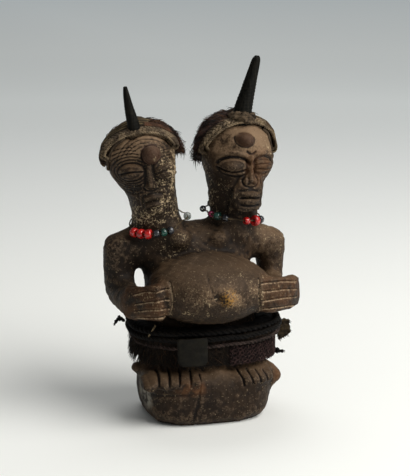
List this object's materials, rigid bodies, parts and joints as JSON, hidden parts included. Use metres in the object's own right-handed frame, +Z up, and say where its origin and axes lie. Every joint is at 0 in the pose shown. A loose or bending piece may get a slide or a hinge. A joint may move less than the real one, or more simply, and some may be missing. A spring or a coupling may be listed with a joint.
{
  "type": "power figure",
  "caption": "Carved wooden figure with two necks and heads, hide caps with horns, glass-bead necklaces, hands on a swollen belly, a corded fibre skirt and feet on a rounded block.",
  "frame": {"origin": "centre of the block's flat underside, at the height of the surface it stands on", "axes": "+Z up, the figure faces -Y, and +X is to the right of a viewer who faces it"},
  "size_m": [0.1744, 0.1434, 0.3232],
  "materials": {
    "wood": "dark carved wood, dusty in the hollows and rubbed on the high places",
    "hide": "hide with short reddish-brown hair on",
    "plait": "plaited and striped plant-fibre cords, tan and brown",
    "horn": "near-black natural horn, satin, faintly ridged",
    "string": "thin undyed cord, grimy",
    "red_glass": "opaque red glass, glossy",
    "green_glass": "dark green glass, glossy",
    "pink_glass": "magenta glass, glossy",
    "dark_glass": "near-black glass, worn",
    "clear_glass": "clear glass, dusty",
    "dark_cord": "near-black twisted cord, greasy",
    "pale_cord": "greyish-mauve twisted cord",
    "fibre": "dark matted plant fibre",
    "net": "purplish-brown knotted net",
    "leather": "dark olive-brown leather, stiff with age",
    "scrap": "ragged scrap of old hide, olive-brown"
  },
  "bodies": {
    "root": {"carved_figure": "wood", "left_hide_cap": "hide", "left_plaited_band": "plait", "left_horn": "horn", "left_necklace_string": "string", "right_hide_cap": "hide", "right_plaited_band": "plait", "right_horn": "horn", "right_necklace_string": "string", "left_bead_01": "red_glass", "left_bead_02": "red_glass", "left_bead_03": "red_glass", "left_bead_04": "dark_glass", "left_bead_05": "green_glass", "left_bead_06": "dark_glass", "left_bead_07": "clear_glass", "left_bead_08": "dark_glass", "left_bead_09": "red_glass", "left_bead_10": "dark_glass", "right_bead_01": "dark_glass", "right_bead_02": "pink_glass", "right_bead_03": "green_glass", "right_bead_04": "dark_glass", "right_bead_05": "red_glass", "right_bead_06": "red_glass", "right_bead_07": "dark_glass", "right_bead_08": "dark_glass", "right_bead_09": "red_glass", "right_bead_10": "dark_glass", "fibre_skirt": "fibre", "net_cloth": "net", "upper_waist_cord": "dark_cord", "middle_waist_cord": "dark_cord", "lower_waist_cord": "pale_cord", "leather_tab": "leather", "hide_scrap": "scrap", "left_cord_end": "dark_cord", "right_cord_end": "dark_cord"}
  },
  "joints": []
}
